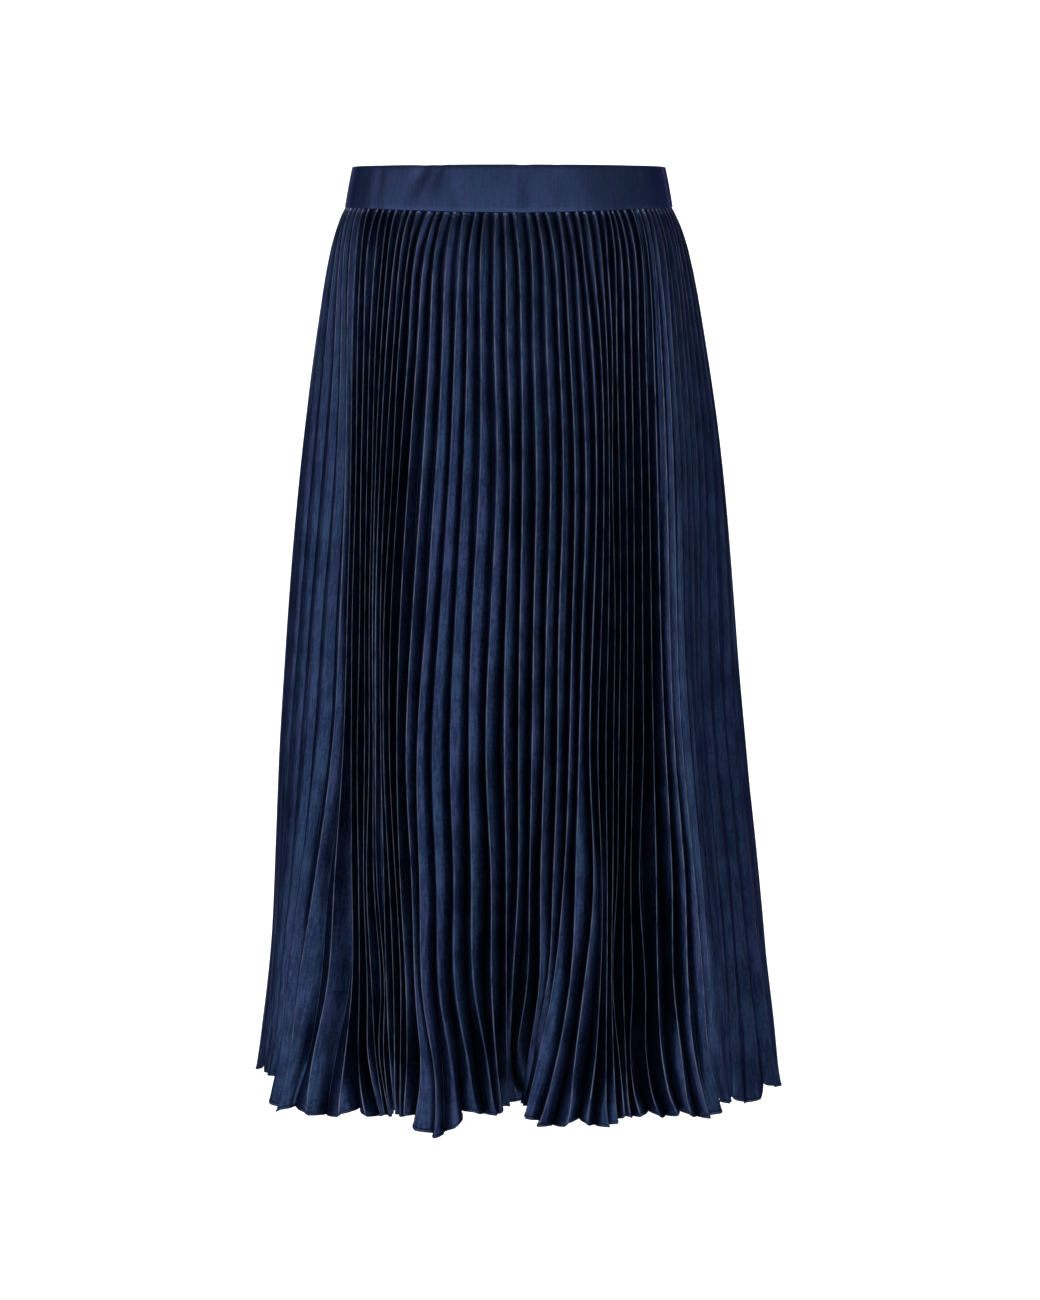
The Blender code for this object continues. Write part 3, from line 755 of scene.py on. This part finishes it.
# Soft creases: pleat number, depth over CREASE_DEPTH, half width over CREASE_WIDTH, middle height,
# half height, and how many pleats it slants by over the band's height
CREASE_DEPTH = 2.6 * MM
CREASE_WIDTH = 0.75           # in pleats
CREASES = (
    ("left of the bunch", 11.8, 0.35, 1.0, 0.7, 0.8, 0.0),
    ("slanting",          17.2, 1.15, 1.4, 0.9, 0.5, 1.8),
    ("narrow",            19.8, 1.00, 0.9, 0.9, 0.4, 0.4),
    ("beside the narrow", 22.0, 0.50, 0.9, 0.3, 0.6, -0.6),
    ("middle",            28.6, 1.10, 0.8, 0.8, 0.6, 0.3),
    ("middle, left",      32.1, 0.45, 1.2, 0.7, 0.7, 0.0),
    ("left",              43.2, 0.40, 1.4, 0.5, 0.8, 0.0),
    ("left end",          52.0, 0.40, 1.0, 0.5, 0.9, 0.0),
    ("back, left",        66.0, 0.45, 1.1, 0.7, 0.7, 0.8),
    ("back, middle",      83.0, 0.40, 0.8, 0.6, 0.7, 0.0),
    ("back, right",       97.0, 0.50, 1.0, 0.8, 0.6, -0.7),
)


def band_points(pleats, height, inset):
    """Points of the band at these pleats, heights (0 at the seam, 1 at the top) and insets.

    The oval of the waist shrinks evenly to the top. The face swells by a half sine of the height,
    and each crease sinks it by a bell curve across and a bell curve up.
    """
    oval = crest_line(pleats, [0.0])[:, 0, :2]
    seam = waist_seam_height(oval[:, 1])
    top = SEAM_LEVEL + BAND_HEIGHT - FRONT_DIP * oval[:, 1] * BAND_TAPER
    away = unit(oval)
    taper = 1 + (BAND_TAPER - 1) * height
    crease = np.zeros((len(height), len(pleats)))
    for _, at, depth, half, middle, reach, slant in CREASES:
        across = pleats[None, :] - at - slant * (height - 0.5)[:, None]
        gap = (np.mod(across + PLEATS / 2, PLEATS) - PLEATS / 2) / (CREASE_WIDTH * half)
        tall = (height - middle) / reach
        crease += CREASE_DEPTH * depth * np.exp(-tall ** 2)[:, None] * np.exp(-gap ** 2)
    ripple = PUCKER * np.cos(2 * np.pi * pleats)[None, :] * np.exp(-height / PUCKER_REACH)[:, None]
    swell = (BAND_SWELL * np.sin(np.pi * np.clip(height, 0, 1)) - inset)[:, None] - crease + ripple
    plan = oval[None] * taper[:, None, None] + away[None] * swell[..., None]
    tall = seam[None, :] + (top - seam)[None, :] * height[:, None]
    return np.stack([plan[..., 0], -plan[..., 1], tall], axis=-1)


def band_section():
    """Height and inset round the section: up the outer face, over the fold, down the inner face."""
    edge = BAND_EDGE / BAND_HEIGHT
    face = np.linspace(edge, 1 - edge, 11)
    bend = np.linspace(0, np.pi, 9)
    half = BAND_THICKNESS / 2
    rise = half / BAND_HEIGHT
    outer = np.stack([face, np.zeros_like(face)], axis=1)
    fold = np.stack([1 - rise + rise * np.sin(bend), half - half * np.cos(bend)], axis=1)
    inner = outer[::-1] + (0, BAND_THICKNESS)
    foot = np.stack([rise - rise * np.sin(bend[::-1]), half - half * np.cos(bend[::-1])], axis=1)
    return np.concatenate([outer, fold[1:-1], inner, foot[1:-1]])


band_satin = satin("band_satin", (0.028, 0.0445, 0.115), (0.0372, 0.0585, 0.144), crushed=0.12)
section = band_section()
opening = np.linspace(SEAM_PLEAT + BAND_OPENING, SEAM_PLEAT + PLEATS - BAND_OPENING, BAND_STATIONS)
body = band_points(opening, section[:, 0], section[:, 1]).transpose(1, 0, 2)
# At each end the section draws in towards its middle, so that the ends are soft.
middle = np.array([0.5, BAND_THICKNESS / 2])
drawn = middle + (section - middle) * END_DRAW
tips = np.array([opening[0] - END_LENGTH, opening[-1] + END_LENGTH])
caps = band_points(tips, drawn[:, 0], drawn[:, 1]).transpose(1, 0, 2)
band_grid = np.concatenate([caps[:1], body, caps[1:]])
waistband = grid_mesh("waistband_strip", band_grid[:, ::-1].copy(), tube=True)
along = (np.concatenate([tips[:1], opening, tips[1:]]) - SEAM_PLEAT) / PLEATS * BAND_GIRTH
steps = np.diff(section * (BAND_HEIGHT, 1), axis=0, prepend=0)
around_section = np.cumsum(np.linalg.norm(steps, axis=1))
places = np.stack(np.broadcast_arrays(along[:, None], -around_section[None, ::-1]), axis=-1)
lay_pattern(waistband, "cloth", places)
waistband.data.materials.append(band_satin)
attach(waistband, "root")
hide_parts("waistband")


# -----------------------------------------------------------------------
# Hem
#
# The cut edge of each panel is turned up twice, about two millimetres deep, and held with one
# row of machine stitches. It follows the pleats and makes the cloth's edge a little thicker.
# -----------------------------------------------------------------------

HEM_DEPTH = 2.3 * MM
HEM_THICKNESS = 1.0 * MM
HEM_RISE = 0.28               # how far its middle stands above the cut edge, to its depth
HEM_SQUARE = 0.7              # power of cosine and sine that makes its oval flatter
HEM_SIDES = 10
STITCH_PITCH = 2.4 * MM
STITCH_SHOWS = 0.72           # share of the pitch that the thread lies on top
STITCH_HEIGHT = 0.62          # place of the row of stitches, to the hem's depth
STITCH_WIDTH = (0.16, 0.08)   # half its width, outside and inside its soft edge


def hem_material():
    """The satin, with a dashed line of thread along each side of the turned edge."""
    made = satin("hem_satin", (0.012, 0.022, 0.060), (0.028, 0.046, 0.115))
    shader = made.node_tree.nodes["Principled BSDF"]
    place = Wire(made.node_tree).pattern("edge")
    dash = (place.part(0) / STITCH_PITCH).maths("FRACT").maths("LESS_THAN", STITCH_SHOWS)
    line = (place.part(1) - STITCH_HEIGHT).maths("ABSOLUTE").smooth(*STITCH_WIDTH)
    colour = Wire(made.node_tree, shader.inputs["Base Color"].links[0].from_socket)
    (dash * line).mixed(colour, (0.075, 0.085, 0.150)).feed(shader, "Base Color")
    return made


hem_satin = hem_material()


def add_hem(panel, name):
    """A flat oval section carried along the panel's lowest row.

    Its height is the sine of the angle round it and its thickness the cosine, each to a power.
    """
    count = len(panel.data.vertices)
    points = np.empty(count * 3)
    panel.data.vertices.foreach_get("co", points)
    rows = points.reshape(len(ROWS) + 1, -1, 3)
    edge = rows[-1]
    rise = unit(rows[-2] - edge)
    tangent = unit(np.gradient(edge, axis=0))
    out = unit(np.cross(tangent, rise))
    angle = np.linspace(0, 2 * np.pi, HEM_SIDES, endpoint=False) + np.pi / HEM_SIDES
    sine, cosine = np.sin(angle), np.cos(angle)
    tall = np.sign(sine) * np.abs(sine) ** HEM_SQUARE * HEM_DEPTH / 2
    thick = np.sign(cosine) * np.abs(cosine) ** HEM_SQUARE * HEM_THICKNESS / 2
    middle = edge + rise * HEM_DEPTH * HEM_RISE
    grid = middle[:, None] + rise[:, None] * tall[None, :, None] + out[:, None] * thick[None, :, None]
    piece = grid_mesh(name, grid, tube=True)
    length = np.cumsum(np.linalg.norm(np.diff(edge, axis=0, prepend=edge[:1]), axis=1))
    height = 0.5 + tall / HEM_DEPTH
    lay_pattern(piece, "cloth", np.stack(np.broadcast_arrays(length[:, None], tall[None]), axis=-1))
    lay_pattern(piece, "edge", np.stack(np.broadcast_arrays(length[:, None], height[None]), axis=-1))
    piece.data.materials.append(hem_satin)
    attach(piece, "root")


add_hem(front_panel, "front_hem")
add_hem(back_panel, "back_hem")


# -----------------------------------------------------------------------
# Concealed zip
#
# Two woven tapes with a nylon coil along each inner edge, closed, sewn to the seam's turnings at
# the wearer's left side and running up inside the band. Only the inside of the skirt shows it.
# -----------------------------------------------------------------------

TAPE_WIDTH = 10.6 * MM
TAPE_THICKNESS = 0.45 * MM
TAPE_GAP = 0.25 * MM          # from the middle of the zip to each tape
TAPE_DISH = 0.25 * MM         # how far a tape's inner edge sinks
TAPE_BEHIND = 0.1 * MM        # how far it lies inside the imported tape's face
TAPE_ROWS = 96
TAPE_COLUMNS = 7
COIL_PITCH = 1.25 * MM
COIL_WIDTH = 2.4 * MM
COIL_DEPTH = 1.1 * MM
COIL_WIRE = 0.28 * MM         # half the wire's thickness
COIL_BEHIND = 1.0 * MM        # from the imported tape's face to the coil
COIL_ASIDE = 0.8 * MM         # from the middle of the zip to the coil's own middle
COIL_END = 2.0 * MM           # left free at each end of the tape
COIL_POINTS = 12              # to a turn
WIRE_SIDES = 6
WAVE_TURN = 20                # radians a metre that Blender's wave turns by at scale 1

zip_low, zip_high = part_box("side_zip")


def zip_line(heights):
    """How far out the zip lies at these heights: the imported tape's outer face, read off its corners."""
    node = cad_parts["side_zip"]
    corners = np.empty(len(node.data.vertices) * 3)
    node.data.vertices.foreach_get("co", corners)
    corners = corners.reshape(-1, 3)
    levels = np.unique(np.round(corners[:, 2], 5))
    outmost = np.array([corners[np.abs(corners[:, 2] - level) < 1e-4, 0].max() for level in levels])
    return np.interp(heights, levels, outmost)


def zip_material(name, colour, rough, wave):
    """Matt nylon, ribbed across by a wave that turns by this many radians a metre."""
    made, shader, start = new_material(name)
    place = start.pattern("cloth")
    rib = place.node("ShaderNodeTexWave", {"wave_type": "BANDS", "bands_direction": "Y"},
                     {"Vector": place, "Scale": wave / WAVE_TURN, "Distortion": 0.6, "Detail": 1.0}, out=1)
    speck = place.noise(2500.0, 1.0)
    dark = tuple(part * 0.6 for part in colour)
    (rib * 0.6 + speck * 0.4).mixed(dark, colour).feed(shader, "Base Color")
    bump = start.node("ShaderNodeBump", {}, {"Strength": 0.5, "Distance": 0.2 * MM, "Height": rib})
    bump.feed(shader, "Normal")
    shader.inputs["Roughness"].default_value = rough
    return made


tape_nylon = zip_material("tape_nylon", (0.012, 0.022, 0.075), 0.75, 1400.0)
coil_nylon = zip_material("coil_nylon", (0.014, 0.024, 0.080), 0.35, 300.0)

heights = np.linspace(zip_high.z, zip_low.z, TAPE_ROWS)
outside = zip_line(heights) - TAPE_BEHIND
for side, name in ((-1, "zip_tape_front"), (1, "zip_tape_back")):
    across = np.linspace(TAPE_GAP, TAPE_WIDTH, TAPE_COLUMNS) * side
    dish = -TAPE_DISH * np.cos(np.linspace(0, np.pi / 2, TAPE_COLUMNS))
    grid = np.empty((TAPE_ROWS, TAPE_COLUMNS, 3))
    grid[..., 0] = outside[:, None] + dish[None] - TAPE_THICKNESS / 2
    grid[..., 1] = across[None]
    grid[..., 2] = heights[:, None]
    if side < 0:
        grid = grid[:, ::-1]
    tape = grid_mesh(name, grid)
    lay_pattern(tape, "cloth", grid[..., 1:])
    give_thickness(tape, TAPE_THICKNESS)
    tape.data.materials.append(tape_nylon)
    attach(tape, "root")

# Each coil is a thin wire carried along a flattened helix, a quarter of a turn out of step with
# the other.
turns = int((zip_high.z - zip_low.z - 2 * COIL_END) / COIL_PITCH)
phase = np.linspace(0, 2 * np.pi * turns, turns * COIL_POINTS + 1)
for side, name in ((-1, "zip_coil_front"), (1, "zip_coil_back")):
    height = zip_high.z - COIL_END - phase / (2 * np.pi) * COIL_PITCH + side * COIL_PITCH / 4
    centre = np.stack([
        zip_line(height) - COIL_BEHIND - COIL_DEPTH / 2 + (COIL_DEPTH / 2 - COIL_WIRE) * np.cos(phase),
        side * COIL_ASIDE + (COIL_WIDTH / 2 - COIL_WIRE) * np.sin(phase) * side,
        height,
    ], axis=1)
    tangent = unit(np.gradient(centre, axis=0))
    first = unit(np.cross(tangent, (0.0, 0.0, 1.0)))
    second = np.cross(tangent, first)
    angle = np.linspace(0, 2 * np.pi, WIRE_SIDES, endpoint=False)
    ring = first[:, None] * np.cos(angle)[None, :, None] + second[:, None] * np.sin(angle)[None, :, None]
    grid = centre[:, None] + COIL_WIRE * ring
    coil = grid_mesh(name, grid, tube=True)
    lay_pattern(coil, "cloth", grid[..., 1:])
    coil.data.materials.append(coil_nylon)
    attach(coil, "root")

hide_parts("side_zip")


# -----------------------------------------------------------------------
# Stage: a pale floor that curves up behind, soft lights and the camera
# -----------------------------------------------------------------------

FLOOR = -1.16                 # its height
FLOOR_FRONT = -12.0
FLOOR_HALF = 9.0
WALL = 3.8
WALL_TOP = 5.0                # above the floor
BEND = 1.2                    # radius from floor to wall


def sweep():
    """The floor runs back, bends up through a quarter circle and stands as a wall."""
    bend = np.linspace(0, np.pi / 2, 17)
    deep = [FLOOR_FRONT, *(WALL - BEND + BEND * np.sin(bend)), WALL]
    tall = [0.0, *(BEND - BEND * np.cos(bend)), WALL_TOP]
    grid = np.empty((len(deep), 2, 3))
    grid[..., 0] = (-FLOOR_HALF, FLOOR_HALF)
    grid[..., 1] = np.array(deep)[:, None]
    grid[..., 2] = np.array(tall)[:, None] + FLOOR
    return grid[::-1]


floor = grid_mesh("floor", sweep())
paper, shader, _ = new_material("pale_paper")
shader.inputs["Base Color"].default_value = (0.88, 0.88, 0.88, 1)
shader.inputs["Roughness"].default_value = 0.9
floor.data.materials.append(paper)


def add_light(name, place, aim, size, power):
    """A flat rectangle of light at this place, turned to face its aim."""
    light = bpy.data.lights.new(name, "AREA")
    light.shape = "RECTANGLE"
    light.size, light.size_y = size
    light.energy = power
    made = bpy.data.objects.new(name, light)
    made.location = place
    made.rotation_euler = (Vector(aim) - Vector(place)).to_track_quat("-Z", "Y").to_euler()
    bpy.context.scene.collection.objects.link(made)


# A wall of three softboxes in front, a weak light at the left side and two lights on the wall
SOFTBOXES = ((-60.6, 19.2), (-17.0, 20.0), (26.6, 20.0))  # degrees round from the front, and watts
SOFTBOX_SIZE = (2.35, 2.30)
SOFTBOX_HEIGHT = 0.05
SOFTBOX_AWAY = 3.0
for number, (azimuth, power) in enumerate(SOFTBOXES):
    turned = np.radians(azimuth)
    place = (SOFTBOX_AWAY * np.sin(turned), -SOFTBOX_AWAY * np.cos(turned), SOFTBOX_HEIGHT)
    add_light(f"softbox_{number}", place, (0, 0, SOFTBOX_HEIGHT), SOFTBOX_SIZE, power)
add_light("side_fill", place=(3.0, -0.3, -0.45), aim=(0, 0, -0.45), size=(1.6, 2.0), power=3.4)
for side in (-1, 1):
    add_light("backdrop_light", (side * 1.3, 1.2, 1.3), (side * 1.0, WALL, -0.3), (1.0, 1.0), 75)

world = bpy.data.worlds.new("studio")
world.use_nodes = True
world.node_tree.nodes["Background"].inputs["Color"].default_value = (1, 1, 1, 1)
world.node_tree.nodes["Background"].inputs["Strength"].default_value = 0.24
bpy.context.scene.world = world
bpy.context.scene.view_settings.view_transform = "Standard"

# The camera stands level, a little above the skirt's middle.
camera = bpy.data.objects.new("camera", bpy.data.cameras.new("camera"))
camera.data.sensor_width = 36.0
camera.data.lens = 74.05
camera.location = (0.009, -2.3, -0.398)
camera.rotation_euler = (np.pi / 2, 0, 0)
bpy.context.scene.collection.objects.link(camera)
bpy.context.scene.camera = camera
